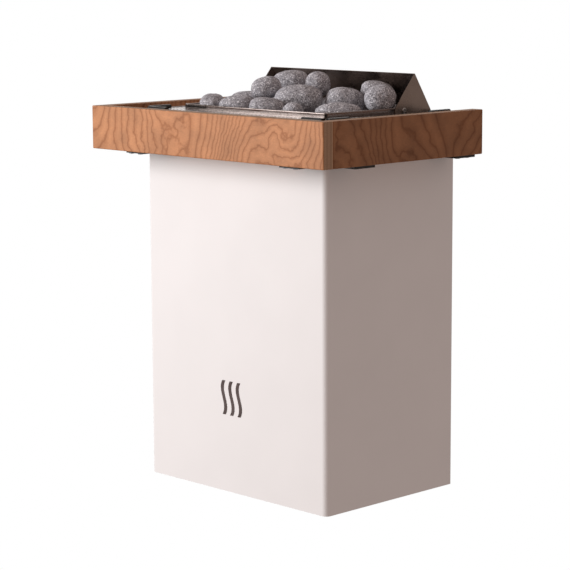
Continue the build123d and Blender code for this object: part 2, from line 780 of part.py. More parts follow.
def rail_strap(name):
    """Steel strap that hooks over the casing's edge and carries the rail."""
    (x, y), (out_x, out_y) = straps[name]
    inside = -casing_sheet - strap_play
    path = [(inside, top - strap_hook), (inside, top), (strap_play, top),
            (strap_play, rail_bottom - strap_sheet),
            (strap_arm((out_x, out_y)), rail_bottom - strap_sheet)]
    section = folded(path, [strap_play * 0.8, strap_play * 0.8, strap_bend], strap_sheet)
    plane = Plane(origin=(x, y, 0), x_dir=(out_x, out_y, 0), z_dir=(out_y, -out_x, 0))
    strap = extrude(plane * section, strap_width / 2, both=True)
    for side in (-1, 1):
        fold = (side * half_width, side * (half_width - casing_corner))
        strap -= block((min(fold), max(fold)), (front, front + casing_corner), (bottom, top))
    for place in screw_places(name):
        strap -= rod((*place, rail_bottom - strap_sheet), (0, 0, 1),
                     rail_screw_radius + screw_play, strap_sheet)
    return strap


for name in straps:
    nodes[name] = rail_strap(name)


def board(x, y):
    """One plywood board with slightly rounded edges and pilot holes below."""
    body = block(x, y, (rail_bottom, rail_top))
    body = fillet(body.edges(), board_edge)
    for name in straps:
        for place in screw_places(name):
            if x[0] < place[0] < x[1] and y[0] < place[1] < y[1]:
                body -= rod((*place, rail_bottom), (0, 0, 1), rail_screw_radius + screw_play,
                            rail_screw_length)
    return body


joint_y = rail_front + board_thickness
dowels = []
for side in (-1, 1):
    for level in spots((rail_bottom + dowel_inset, rail_top - dowel_inset), 2):
        middle = (side * (rail_half - board_thickness / 2), joint_y - dowel_length / 3, level)
        dowels.append(rod(middle, (0, 1, 0), dowel_radius, dowel_length))
dowel_holes = Compound([offset(dowel, screw_play) for dowel in dowels])
rail_inner = rail_half - board_thickness
nodes["rail_front_board"] = board((-rail_half, rail_half), (rail_front, joint_y)) - dowel_holes
nodes["rail_left_board"] = board((-rail_half, -rail_inner), (joint_y, back)) - dowel_holes
nodes["rail_right_board"] = board((rail_inner, rail_half), (joint_y, back)) - dowel_holes
nodes["rail_dowels"] = Compound(dowels)
nodes["rail_screws"] = Compound([
    pan_screw((*place, rail_bottom - strap_sheet), (0, 0, 1), rail_screw_radius,
              rail_screw_length, rail_screw_head_radius, rail_screw_head)
    for name in straps for place in screw_places(name)])


# ---------------------------------------------------------------- front emblem
def emblem_wave(across):
    """One wavy upright strip of the plain three-wave heat sign."""
    low = bottom + emblem_centre_height - emblem_height / 2
    sway = (0, emblem_sway, 0, -emblem_sway, 0)
    left = [(across + shift, low + emblem_height * index / 4) for index, shift in enumerate(sway)]
    right = [(x + emblem_stroke, z) for x, z in left]
    outline = [Spline(*left), Line(left[-1], right[-1]), Spline(*right), Line(right[0], left[0])]
    face = Plane(origin=(0, front, 0), x_dir=(1, 0, 0), z_dir=(0, -1, 0)) * make_face(outline)
    return extrude(face, emblem_sheet)


nodes["front_emblem"] = Compound([
    emblem_wave(emblem_offset - emblem_stroke / 2 + emblem_pitch * shift) for shift in (-1, 0, 1)])


# ---------------------------------------------------------------- stones
mouth_half = collar_half - 2 * collar_bead - stone_gap
mouth_front = collar_front + 2 * collar_bead + stone_gap
mouth_back = chamber_back - chamber_sheet - stone_gap
grate_top = base_top + grate_height
stone_height = (top - grate_top - heap_depth) / stone_layers
hull = np.array([(math.sqrt(1 - z * z) * math.cos(2.4 * index), math.sqrt(1 - z * z)
                  * math.sin(2.4 * index), z)
                 for index, z in enumerate(np.linspace(-0.999, 0.999, 1500))])
stones = []


class Stone:
    """An ellipsoid with three half sizes, turned by three angles."""

    def __init__(self, half, turn):
        plane = Plane(Rotation(*turn))
        self.half = np.array(half, float)
        self.turn = turn
        self.axes = np.array([tuple(plane.x_dir), tuple(plane.y_dir), tuple(plane.z_dir)])
        self.reach = np.sqrt(((self.axes.T * self.half) ** 2).sum(axis=1))
        self.centre = np.zeros(3)

    def skin(self):
        """Points all over its surface."""
        return (hull * self.half) @ self.axes + self.centre

    def holds(self, points, margin):
        """Whether any of the points lies inside it or within a margin of it."""
        local = (points - self.centre) @ self.axes.T / (self.half + margin)
        return bool(((local ** 2).sum(axis=1) < 1).any())

    def meets(self, other):
        """Whether it comes nearer to another stone than the gap."""
        if (np.abs(self.centre - other.centre) > self.reach + other.reach + stone_gap).any():
            return False
        return other.holds(self.skin(), stone_gap) or self.holds(other.skin(), stone_gap)

    def solid(self):
        """The stone as a solid in its place."""
        ball = scale(Sphere(1), by=tuple(float(value) for value in self.half))
        return Pos(*self.centre) * Rotation(*self.turn) * ball


def hairpin_line(across):
    """Points along the middle of an element's tube."""
    rise = np.arange(base_top, element_top - element_bend / 2, 3.0)
    run = np.arange(leg_y[0] + element_bend / 2, leg_y[1] - element_bend / 2, 3.0)
    points = [(across, along, level) for along in leg_y for level in rise]
    return points + [(across, along, element_top) for along in run]


tubes = np.array([point for across in element_x for point in hairpin_line(across)])


def overhang(stone):
    """How far a stone reaches into the leaning deflector behind it."""
    skin = stone.skin()
    skin = skin[skin[:, 2] < top + deflector_rise + stone_gap]
    lean = np.maximum(skin[:, 2] - deflector_knee, 0) * deflector_slope
    face = chamber_back + seat_clearance - stone_gap - lean
    return float((skin[:, 1] - face).max())


def lay(stone, x, y):
    """Lets a stone down, further forward if the deflector is in its way."""
    drop(stone, x, y)
    while overhang(stone) > 0:
        stones.remove(stone)
        drop(stone, x, stone.centre[1] - overhang(stone) - 0.1)
    return stone


def drop(stone, x, y):
    """Lets a stone down at a place until it comes to rest on what is there."""
    x = min(max(x, -mouth_half + stone.reach[0]), mouth_half - stone.reach[0])
    y = min(max(y, mouth_front + stone.reach[1]), mouth_back - stone.reach[1])
    floor = grate_top + stone_gap + stone.reach[2]

    def free(level):
        stone.centre = np.array([x, y, level])
        if stone.holds(tubes, element_radius + stone_gap):
            return False
        return not any(stone.meets(other) for other in stones)

    high = top + 3 * stone_height
    step = 4.0
    while high - step > floor and free(high - step):
        high -= step
    low = max(high - step, floor)
    if free(low):
        high = low
    while high - low > 0.01:
        middle = (high + low) / 2
        if free(middle):
            high = middle
        else:
            low = middle
    stone.centre = np.array([x, y, high])
    stones.append(stone)
    return stone


def spans():
    """Widths of the columns that the elements leave between the chamber's walls."""
    edge = element_radius + stone_gap
    lows = [-mouth_half] + [across + edge for across in element_x]
    highs = [across - edge for across in element_x] + [mouth_half]
    return list(zip(lows, highs))


def packed_layer(turning):
    """One layer of big stones, one in each column and row round the elements."""
    layer = []
    depth = (mouth_back - mouth_front) / cell_rows
    for column, (low, high) in enumerate(spans()):
        for row in range(cell_rows):
            share = turning.uniform(0.93, 0.99, 2)
            half = ((high - low) / 2 * share[0], depth / 2 * share[1],
                    stone_height / 2 * turning.uniform(0.86, 1.08))
            stone = Stone(half, tuple(turning.uniform(-9, 9, 3)))
            fit = min((high - low) / 2 / stone.reach[0], (depth - stone_gap) / 2 / stone.reach[1], 1)
            stone = Stone(stone.half * fit, stone.turn)
            drop(stone, (low + high) / 2, mouth_front + depth * (row + 0.5))
            layer.append(stone)
    return layer


turning = np.random.default_rng(11)
for number in range(1, stone_layers + 1):
    layer = packed_layer(turning)
    nodes[f"stone_layer_{number}"] = Compound([stone.solid() for stone in layer])

# Stones under and behind the heap: place from the chamber's middle and from the
# collar's front, half sizes, turn.
bedding = [
    ((-20, 118), (30, 26, 16), (4, -6, 30)),
    ((-118, 110), (30, 26, 15), (5, 5, 80)),
    ((-70, 140), (30, 26, 11), (-5, 4, 15)),
    ((-120, 175), (28, 24, 16), (5, -5, 20)),
    ((-10, 180), (27, 24, 16), (6, 4, 160)),
    ((-66, 200), (27, 24, 14), (-6, 6, 0)),
    ((120, 178), (24, 22, 16), (5, 5, 40)),
    ((50, 205), (26, 22, 14), (4, 6, 10)),
]
# The heap on top, in the order it is laid.
heap = {
    "front_left": ((-122, 27), (24, 20, 17), (5, 8, 120)),
    "front_long": ((-72, 35), (30, 24, 17), (3, -6, 40)),
    "front_middle": ((-4, 35), (29, 22, 18), (-4, 8, 46)),
    "front_small": ((53, 35), (16, 15, 14), (10, 5, 20)),
    "front_flat": ((118, 69), (37, 22, 18), (4, 7, 48)),
    "right_back": ((131, 146), (25, 24, 22), (8, 3, 60)),
    "left_flat": ((-85, 81), (36, 20, 15), (-5, 4, 44)),
    "big": ((8, 92), (40, 28, 23), (6, 5, 42)),
    "right": ((61, 141), (32, 26, 24), (-8, 6, 50)),
    "top_left": ((-44, 71), (25, 22, 18), (5, -8, 50)),
    "top_right": ((90, 184), (28, 22, 17), (-6, 10, 46)),
    "top_back": ((4, 138), (20, 20, 20), (12, 9, 0)),
    "top_middle": ((-57, 138), (31, 25, 22), (8, 6, 40)),
}
# Small stones that fill the hollows left round the edge.
filling = [
    ((128, 20), (20, 17, 13), (6, 4, 30)),
    ((-128, 206), (20, 18, 14), (6, 4, 10)),
]


def heaped(entry):
    """A stone of the heap, let down at its place behind the collar's front."""
    (x, setback), half, turn = entry
    return lay(Stone(half, turn), x, collar_front + setback)


loose = [heaped(entry).solid() for entry in bedding]
for name, entry in heap.items():
    nodes[f"stone_{name}"] = heaped(entry).solid()
loose += [heaped(entry).solid() for entry in filling]
nodes["stone_bedding"] = Compound(loose)


# ---------------------------------------------------------------- write
for name, shape in nodes.items():
    export_step(shape, f"parts/{name}.step")
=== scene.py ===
"""Looks of a wall-hung electric sauna heater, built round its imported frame.

Metres, with X to the right, Y into the wall and Z up, as in the frame.
"""

import json
import math

import bmesh
import bpy
import numpy as np
from mathutils import Matrix, Vector, noise

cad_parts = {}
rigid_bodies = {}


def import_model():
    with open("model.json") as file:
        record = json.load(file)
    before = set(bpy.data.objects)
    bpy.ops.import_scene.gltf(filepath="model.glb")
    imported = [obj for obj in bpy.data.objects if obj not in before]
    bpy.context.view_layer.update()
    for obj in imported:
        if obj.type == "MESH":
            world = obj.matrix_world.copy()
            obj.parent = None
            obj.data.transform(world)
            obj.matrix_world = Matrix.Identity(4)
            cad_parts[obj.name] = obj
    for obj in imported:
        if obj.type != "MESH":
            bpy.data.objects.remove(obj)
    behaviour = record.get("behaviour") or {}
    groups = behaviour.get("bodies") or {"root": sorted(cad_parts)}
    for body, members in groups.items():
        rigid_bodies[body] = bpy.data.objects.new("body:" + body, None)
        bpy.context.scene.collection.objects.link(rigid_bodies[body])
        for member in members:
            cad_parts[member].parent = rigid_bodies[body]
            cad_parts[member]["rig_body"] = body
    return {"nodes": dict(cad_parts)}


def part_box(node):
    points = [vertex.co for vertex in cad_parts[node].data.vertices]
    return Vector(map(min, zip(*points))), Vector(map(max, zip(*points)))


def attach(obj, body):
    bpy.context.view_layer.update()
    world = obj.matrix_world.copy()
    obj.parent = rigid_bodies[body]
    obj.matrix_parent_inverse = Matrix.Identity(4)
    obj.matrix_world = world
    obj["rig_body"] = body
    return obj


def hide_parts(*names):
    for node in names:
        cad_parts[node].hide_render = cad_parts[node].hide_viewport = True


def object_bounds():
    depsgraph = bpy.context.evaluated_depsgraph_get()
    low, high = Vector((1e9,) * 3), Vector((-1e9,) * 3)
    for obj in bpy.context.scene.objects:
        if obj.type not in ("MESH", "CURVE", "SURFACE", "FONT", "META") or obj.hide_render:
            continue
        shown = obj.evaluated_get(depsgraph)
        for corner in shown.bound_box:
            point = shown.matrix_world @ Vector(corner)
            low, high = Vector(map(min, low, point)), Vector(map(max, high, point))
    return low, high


bl_info = {
    "name": "Sauna heater looks",
    "version": (1, 0, 0),
    "blender": (4, 5, 0),
    "location": "3D View > Sidebar > Heater",
    "description": "Gives a wall-hung sauna heater its finishes, stones and perforated plate",
    "category": "Object",
}

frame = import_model()
nodes = frame["nodes"]
frame_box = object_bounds()
MM = 0.001
WELD = 0.02 * MM            # points nearer than this are one
SPREAD = {"From Min": 0.3, "From Max": 0.7}   # where nearly all of a noise's values lie
EVEN = (1.0, 1.0, 1.0)      # a pattern alike in all directions
LEVEL_LINES = (0.02, 0.02, 1.0)   # brushing that runs level round a piece
CROSS_LINES = (0.02, 1.0, 1.0)    # brushing that runs from left to right


def linear(code):
    """A colour from its sRGB hex code, in linear light."""
    parts = [int(code[place:place + 2], 16) / 255 for place in (0, 2, 4)]
    return tuple(c / 12.92 if c <= 0.04045 else ((c + 0.055) / 1.055) ** 2.4 for c in parts)


def connect(tree, node, inputs):
    """Gives a node's sockets their values, or links them to a node or another socket."""
    for key, value in inputs.items():
        if isinstance(value, bpy.types.Node):
            value = value.outputs[0]
        if isinstance(value, bpy.types.NodeSocket):
            tree.links.new(value, node.inputs[key])
        else:
            node.inputs[key].default_value = value


def add(tree, kind, inputs=None, stops=(), **settings):
    """Adds a node with its settings, its colour stops, and its sockets' values or links."""
    node = tree.nodes.new(kind)
    for name, value in settings.items():
        setattr(node, name, value)
    for place, (position, colour) in enumerate(stops):
        elements = node.color_ramp.elements
        stop = elements[place] if place < len(elements) else elements.new(position)
        stop.position = position
        stop.color = (*colour, 1)
    connect(tree, node, inputs or {})
    return node


def shaded(colour, share):
    """A colour made lighter or darker by a share."""
    return tuple(part * share for part in colour)


def finish(name, **constants):
    """A new material, its tree, its shader with constants on it, and object coordinates."""
    material = bpy.data.materials.new(name)
    material.use_nodes = True
    tree = material.node_tree
    tree.nodes.clear()
    values = {key.replace("_", " ").title().replace("Ior", "IOR"): value
              for key, value in constants.items()}
    shader = add(tree, "ShaderNodeBsdfPrincipled", values)
    add(tree, "ShaderNodeOutputMaterial", {"Surface": shader})
    place = add(tree, "ShaderNodeTexCoord").outputs["Object"]
    return material, tree, shader, place


def wear(material, *names):
    """Puts a material on CAD nodes, in place of what they came with."""
    for name in names:
        mesh = nodes[name].data
        mesh.materials.clear()
        mesh.materials.append(material)


# ---------------------------------------------------------------- materials
def powder_coat(colour):
    """White powder coat on steel: an even satin with the faint orange peel of baked powder."""
    material, tree, shader, place = finish("white powder coat", specular_ior_level=0.4)
    cloud_size, peel_size = 90 * MM, 2.2 * MM
    cloud = add(tree, "ShaderNodeTexNoise",
                {"Vector": place, "Scale": 1 / cloud_size, "Detail": 2.0})
    tint = add(tree, "ShaderNodeValToRGB", {"Fac": cloud},
               stops=[(0.3, shaded(colour, 0.975)), (0.7, colour)])
    peel = add(tree, "ShaderNodeTexNoise", {"Vector": place, "Scale": 1 / peel_size, "Detail": 1.0})
    gloss = add(tree, "ShaderNodeMapRange", {"Value": peel, "To Min": 0.42, "To Max": 0.52})
    bump = add(tree, "ShaderNodeBump", {"Height": peel, "Strength": 0.06, "Distance": 0.3 * MM})
    connect(tree, shader, {"Base Color": tint, "Roughness": gloss, "Normal": bump})
    return material


def plywood(name, across, middle, seed, tone_and_painted_shade, wood):
    """Oiled birch plywood: rotary-cut veneer with wavy contour lines, and plies on its edges."""
    material, tree, shader, place = finish(name, specular_ior_level=0.35)
    bend_size, cloud_size, edge_size = 30 * MM, 45 * MM, 1.2 * MM
    board_step = 0.37   # apart in the noise, so that no two boards share a figure
    split = add(tree, "ShaderNodeSeparateXYZ", {"Vector": place})
    along = "Y" if across == "X" else "X"
    flat = add(tree, "ShaderNodeCombineXYZ",
               {"X": split.outputs[along], "Y": split.outputs["Z"], "Z": seed * board_step})
    # Contour lines of a slow height field are what a rotary cut shows of the growth rings.
    bent = add(tree, "ShaderNodeTexNoise", {"Vector": flat, "Scale": 1 / bend_size, "Detail": 4.0})
    shift = add(tree, "ShaderNodeVectorMath", {0: bent.outputs["Color"], "Scale": wood.figure_bend},
                operation="SCALE")
    moved = add(tree, "ShaderNodeVectorMath", {0: flat, 1: shift})
    drawn = add(tree, "ShaderNodeMapping", {"Vector": moved, "Scale": (1.0, 0.5, 1.0)})
    field = add(tree, "ShaderNodeTexNoise",
                {"Vector": drawn, "Scale": 1 / wood.figure_size, "Detail": 0.6, "Roughness": 0.35})
    # The field climbs along the board too, so that most contours stand across it.
    climb = add(tree, "ShaderNodeMath",
                {0: split.outputs[along], 1: wood.figure_climb, 2: field}, operation="MULTIPLY_ADD")
    rings = add(tree, "ShaderNodeMath", {0: climb, 1: wood.figure_lines}, operation="MULTIPLY")
    ring = add(tree, "ShaderNodeMath", {0: rings}, operation="FRACT")
    late, rising, early, falling = (
        tuple(dark + (light - dark) * share for light, dark in zip(wood.light, wood.dark))
        for share in (0.0, 0.6, 1.0, 0.8))
    veneer = add(tree, "ShaderNodeValToRGB", {"Fac": ring},
                 stops=[(0.0, late), (0.12, rising), (0.45, early), (0.82, falling), (1.0, late)])
    # Short fibres and pores, 0.6 mm wide and some 12 mm long, lie along the board.
    fibre_place = add(tree, "ShaderNodeMapping", {"Vector": moved, "Scale": (1 / 12, 1 / 0.6, 1.0)})
    fibre = add(tree, "ShaderNodeTexNoise", {"Vector": fibre_place, "Scale": 1000.0, "Detail": 2.0})
    fibre_tone = add(tree, "ShaderNodeMapRange",
                     {"Value": fibre, **SPREAD, "To Min": 0.86, "To Max": 1.1})
    cloud = add(tree, "ShaderNodeTexNoise",
                {"Vector": moved, "Scale": 1 / cloud_size, "Detail": 3.0})
    cloud_tone = add(tree, "ShaderNodeMapRange",
                     {"Value": cloud, **SPREAD, "To Min": 0.84, "To Max": 1.14})
    fibred = add(tree, "ShaderNodeMath", {0: fibre_tone, 1: cloud_tone}, operation="MULTIPLY")
    # The board's share darkens it all over: a little of it is the board's own tone, and the much
    # darker share on the side boards is painted shade.
    tone = add(tree, "ShaderNodeMath", {0: fibred, 1: tone_and_painted_shade}, operation="MULTIPLY")
    face = add(tree, "ShaderNodeVectorMath", {0: veneer, "Scale": tone}, operation="SCALE")
    # The plies lie across the board, pale and dark turn about, with a glue line between.
    depth = add(tree, "ShaderNodeMath", {0: split.outputs[across], 1: middle},
                operation="SUBTRACT")
    plies = add(tree, "ShaderNodeMath", {0: depth, 1: wood.ply * MM}, operation="DIVIDE")
    ply = add(tree, "ShaderNodeMath", {0: plies, 1: 0.5}, operation="ADD")
    pair = add(tree, "ShaderNodeMath", {0: ply, 1: 2.0}, operation="FLOORED_MODULO")
    glue, pale_ply, dark_ply = linear("6B4E3C"), linear("C4A184"), linear("94745C")
    turn = add(tree, "ShaderNodeMath", {0: pair, 1: 0.5}, operation="MULTIPLY")
    edge = add(tree, "ShaderNodeValToRGB", {"Fac": turn},
               stops=[(0.0, glue), (0.06, pale_ply), (0.44, pale_ply), (0.5, glue),
                      (0.56, dark_ply), (0.94, dark_ply), (1.0, glue)])
    edge_grain = add(tree, "ShaderNodeTexNoise",
                     {"Vector": place, "Scale": 1 / edge_size, "Detail": 2.0})
    edge_tone = add(tree, "ShaderNodeMapRange",
                    {"Value": edge_grain, **SPREAD, "To Min": 0.75, "To Max": 1.15})
    edge_face = add(tree, "ShaderNodeVectorMath", {0: edge, "Scale": edge_tone}, operation="SCALE")
    inside = add(tree, "ShaderNodeMath", {0: depth}, operation="ABSOLUTE")
    is_edge = add(tree, "ShaderNodeMath",
                  {0: inside, 1: (wood.plies / 2 - 1) * wood.ply * MM}, operation="LESS_THAN")
    # A colour mix node's colours are its sockets 6 and 7, and its result is output 2.
    mixed = add(tree, "ShaderNodeMix", {0: is_edge, 6: face, 7: edge_face}, data_type="RGBA")
    gloss = add(tree, "ShaderNodeMapRange", {"Value": fibre, "To Min": 0.46, "To Max": 0.66})
    dull = add(tree, "ShaderNodeMath", {0: is_edge, 1: 0.3, 2: gloss}, operation="MULTIPLY_ADD")
    bump = add(tree, "ShaderNodeBump", {"Height": fibre, "Strength": 0.12, "Distance": 0.2 * MM})
    connect(tree, shader, {"Base Color": mixed.outputs[2], "Roughness": dull, "Normal": bump})
    return material


def beech():
    """Turned beech dowel: pale pink-brown with short dark flecks along its length."""
    material, tree, shader, place = finish("beech", specular_ior_level=0.35)
    fleck_width = 0.9 * MM
    drawn = add(tree, "ShaderNodeMapping", {"Vector": place, "Scale": (1.0, 0.12, 1.0)})
    fleck = add(tree, "ShaderNodeTexNoise",
                {"Vector": drawn, "Scale": 1 / fleck_width, "Detail": 2.0})
    tint = add(tree, "ShaderNodeValToRGB", {"Fac": fleck},
               stops=[(0.36, linear("A87B58")), (0.5, linear("D3AD84")), (0.7, linear("DDBB94"))])
    gloss = add(tree, "ShaderNodeMapRange", {"Value": fleck, "To Min": 0.5, "To Max": 0.7})
    connect(tree, shader, {"Base Color": tint, "Roughness": gloss})
    return material


def brushed(name, colour, rough, lines, metal=1.0, grain=0.35, relief=0.1):
    """Brushed sheet metal: fine parallel scratches that stretch the highlights, faint smears."""
    material, tree, shader, place = finish(name, metallic=metal)
    drawn = add(tree, "ShaderNodeMapping", {"Vector": place, "Scale": lines})
    scratch = add(tree, "ShaderNodeTexNoise",
                  {"Vector": drawn, "Scale": 1 / (grain * MM), "Detail": 3.0, "Roughness": 0.6})
    smear_size = 35 * MM
    smear = add(tree, "ShaderNodeTexNoise",
                {"Vector": place, "Scale": 1 / smear_size, "Detail": 3.0})
    both = add(tree, "ShaderNodeMath", {0: scratch, 1: smear}, operation="ADD")
    mean = add(tree, "ShaderNodeMath", {0: both, 1: 0.5}, operation="MULTIPLY")
    tint = add(tree, "ShaderNodeValToRGB", {"Fac": mean},
               stops=[(0.36, shaded(colour, 0.78)), (0.62, colour)])
    gloss = add(tree, "ShaderNodeMapRange",
                {"Value": both, "From Min": 0.6, "From Max": 1.4, "To Min": rough - 0.08,
                 "To Max": rough + 0.1})
    bump = add(tree, "ShaderNodeBump",
               {"Height": scratch, "Strength": relief, "Distance": 0.1 * MM})
    connect(tree, shader, {"Base Color": tint, "Roughness": gloss, "Normal": bump})
    return material


def galvanised():
    """Hot-dip galvanised sheet: zinc spangle in flat grey flakes of differing sheen."""
    material, tree, shader, place = finish("galvanised sheet", metallic=0.85)
    flake_size, frost_size = 9 * MM, 1.5 * MM
    flake = add(tree, "ShaderNodeTexVoronoi", {"Vector": place, "Scale": 1 / flake_size})
    grey = add(tree, "ShaderNodeSeparateColor", {"Color": flake.outputs["Color"]})
    tint = add(tree, "ShaderNodeValToRGB", {"Fac": grey},
               stops=[(0.0, linear("B4B9BC")), (0.5, linear("C3C7CA")), (1.0, linear("D4D8DA"))])
    frost = add(tree, "ShaderNodeTexNoise",
                {"Vector": place, "Scale": 1 / frost_size, "Detail": 3.0})
    rough = add(tree, "ShaderNodeMath", {0: grey.outputs[1], 1: 0.1, 2: 0.42},
                operation="MULTIPLY_ADD")
    bump = add(tree, "ShaderNodeBump", {"Height": frost, "Strength": 0.12, "Distance": 0.1 * MM})
    connect(tree, shader, {"Base Color": tint, "Roughness": rough, "Normal": bump})
    return material


def coated(name, low, high, rough, size, metal=0.0, relief=0.2):
    """A mottled coating or moulded part: two near tones in specks, and a grain of that size."""
    material, tree, shader, place = finish(name, metallic=metal)
    speck = add(tree, "ShaderNodeTexNoise",
                {"Vector": place, "Scale": 1 / (size * MM), "Detail": 4.0, "Roughness": 0.6})
    tint = add(tree, "ShaderNodeValToRGB", {"Fac": speck}, stops=[(0.35, low), (0.65, high)])
    gloss = add(tree, "ShaderNodeMapRange",
                {"Value": speck, **SPREAD, "To Min": rough - 0.06, "To Max": rough + 0.08})
    bump = add(tree, "ShaderNodeBump",
               {"Height": speck, "Strength": relief, "Distance": 0.15 * MM})
    connect(tree, shader, {"Base Color": tint, "Roughness": gloss, "Normal": bump})
    return material


def olivine(settings):
    """Tumbled olivine diabase: grey and granular, with pale feldspar and dark pyroxene grains."""
    material, tree, shader, place = finish("olivine diabase", specular_ior_level=0.3)
    jitter_size, jitter_reach, patch_size, fine_size = 3 * MM, 1.6 * MM, 16 * MM, 0.8 * MM
    body = tuple(settings.body)
    jitter = add(tree, "ShaderNodeTexNoise",
                 {"Vector": place, "Scale": 1 / jitter_size, "Detail": 2.0})
    nudge = add(tree, "ShaderNodeVectorMath", {0: jitter.outputs["Color"], "Scale": jitter_reach},
                operation="SCALE")
    spot = add(tree, "ShaderNodeVectorMath", {0: place, 1: nudge})
    cell = add(tree, "ShaderNodeTexVoronoi",
               {"Vector": spot, "Scale": 1 / (settings.grain * MM)})
    pick = add(tree, "ShaderNodeSeparateColor", {"Color": cell.outputs["Color"]})
    grains = add(tree, "ShaderNodeValToRGB", {"Fac": pick},
                 stops=[(0.0, tuple(settings.dark)), (0.14, shaded(body, 0.74)), (0.5, body),
                        (0.76, shaded(body, 1.3)), (1.0, tuple(settings.pale))])
    patch = add(tree, "ShaderNodeTexNoise",
                {"Vector": place, "Scale": 1 / patch_size, "Detail": 4.0})
    patch_tone = add(tree, "ShaderNodeMapRange",
                     {"Value": patch, **SPREAD, "To Min": 0.88, "To Max": 1.12})
    fine = add(tree, "ShaderNodeTexNoise", {"Vector": place, "Scale": 1 / fine_size, "Detail": 3.0})
    fine_tone = add(tree, "ShaderNodeMapRange",
                    {"Value": fine, **SPREAD, "To Min": 0.7, "To Max": 1.3})
    tone = add(tree, "ShaderNodeMath", {0: patch_tone, 1: fine_tone}, operation="MULTIPLY")
    stone = add(tree, "ShaderNodeVectorMath", {0: grains, "Scale": tone}, operation="SCALE")
    rough = add(tree, "ShaderNodeMapRange", {"Value": patch, "To Min": 0.72, "To Max": 0.95})
    pits = add(tree, "ShaderNodeMath", {0: pick.outputs[1], 1: fine}, operation="ADD")
    bump = add(tree, "ShaderNodeBump", {"Height": pits, "Strength": 0.55, "Distance": 0.5 * MM})
    connect(tree, shader, {"Base Color": stone, "Roughness": rough, "Normal": bump})
    return material


# ---------------------------------------------------------------- settings
class CasingLooks(bpy.types.PropertyGroup):
    """Colour of the casing."""

    coat: bpy.props.FloatVectorProperty(name="Coat", description="Colour of the powder coat",
                                        subtype="COLOR", default=linear("F4F2F2"))


class RailLooks(bpy.types.PropertyGroup):
    """Figure and colours of the safety rail's plywood."""

    light: bpy.props.FloatVectorProperty(name="Light wood",
                                         description="Early wood between the rings",
                                         subtype="COLOR", default=linear("CC8E62"))
    dark: bpy.props.FloatVectorProperty(name="Dark wood", description="Late wood at the rings",
                                        subtype="COLOR", default=linear("A4683E"))
    figure_size: bpy.props.FloatProperty(name="Figure size",
                                         description="Breadth of a contour's swing",
                                         default=0.16, min=0.02, unit="LENGTH")
    figure_climb: bpy.props.FloatProperty(name="Figure climb",
                                          description="Rise of the height field per metre of board",
                                          default=2.0, min=0.0)
    figure_lines: bpy.props.FloatProperty(name="Figure lines",
                                          description="Contours over the height field",
                                          default=24.0, min=1.0)
    figure_bend: bpy.props.FloatProperty(name="Figure bend",
                                         description="How far the contours waver",
                                         default=0.03, min=0.0, unit="LENGTH")
    ply: bpy.props.FloatProperty(name="Ply", description="Thickness of one ply in millimetres",
                                 default=1.4, min=0.5)
    plies: bpy.props.IntProperty(name="Plies", description="Plies in a board", default=15, min=3)


class PlateLooks(bpy.types.PropertyGroup):
    """Perforation of the plate round the stones."""

    pitch: bpy.props.FloatProperty(name="Pitch", description="From one hole to the next",
                                   default=0.0085, min=0.002, unit="LENGTH")
    hole: bpy.props.FloatProperty(name="Hole", description="Diameter of a hole",
                                  default=0.0058, min=0.0005, unit="LENGTH")
    border: bpy.props.FloatProperty(name="Border", description="Plain strip along each edge",
                                    default=0.004, min=0.001, unit="LENGTH")


class StoneLooks(bpy.types.PropertyGroup):
    """Shape and colours of the stones."""

    body: bpy.props.FloatVectorProperty(name="Body", description="Common colour of the stone",
                                        subtype="COLOR", default=linear("A6A4AA"))
    pale: bpy.props.FloatVectorProperty(name="Pale grains", description="Colour of the feldspar",
                                        subtype="COLOR", default=linear("F6F5F8"))
    dark: bpy.props.FloatVectorProperty(name="Dark grains", description="Colour of the pyroxene",
                                        subtype="COLOR", default=linear("525053"))
    grain: bpy.props.FloatProperty(name="Grain", description="Size of a grain in millimetres",
                                   default=1.4, min=0.2)
    dents: bpy.props.FloatProperty(name="Dents",
                                   description="Depth of the flats as a share of the radius",
                                   default=0.10, min=0.0, max=0.4, subtype="FACTOR")


class StageLooks(bpy.types.PropertyGroup):
    """Light round the heater."""

    key_power: bpy.props.FloatProperty(name="Key light", description="Softbox at the front left",
                                       default=95.0, min=0.0, unit="POWER")
    fill: bpy.props.FloatVectorProperty(name="Room", description="Dim light from all round",
                                        subtype="COLOR", default=(0.365, 0.300, 0.275))
    floor_drop: bpy.props.FloatProperty(name="Floor",
                                        description="From the casing down to the floor",
                                        default=0.6, min=0.0, unit="LENGTH")


# ---------------------------------------------------------------- pieces
class HEATER_OT_casing(bpy.types.Operator):
    """Coats the casing and finishes the plain sign on its front"""

    bl_idname = "heater.casing"
    bl_label = "Casing"

    def execute(self, context):
        looks = context.scene.heater_casing
        wear(powder_coat(tuple(looks.coat)), "outer_casing")
        # Etched steel: dull and mid grey, with short level scratches.
        sign = brushed("etched steel sign", linear("6E6462"), 0.42, (0.03, 1.0, 1.0), grain=0.5)
        wear(sign, "front_emblem")
        return {"FINISHED"}


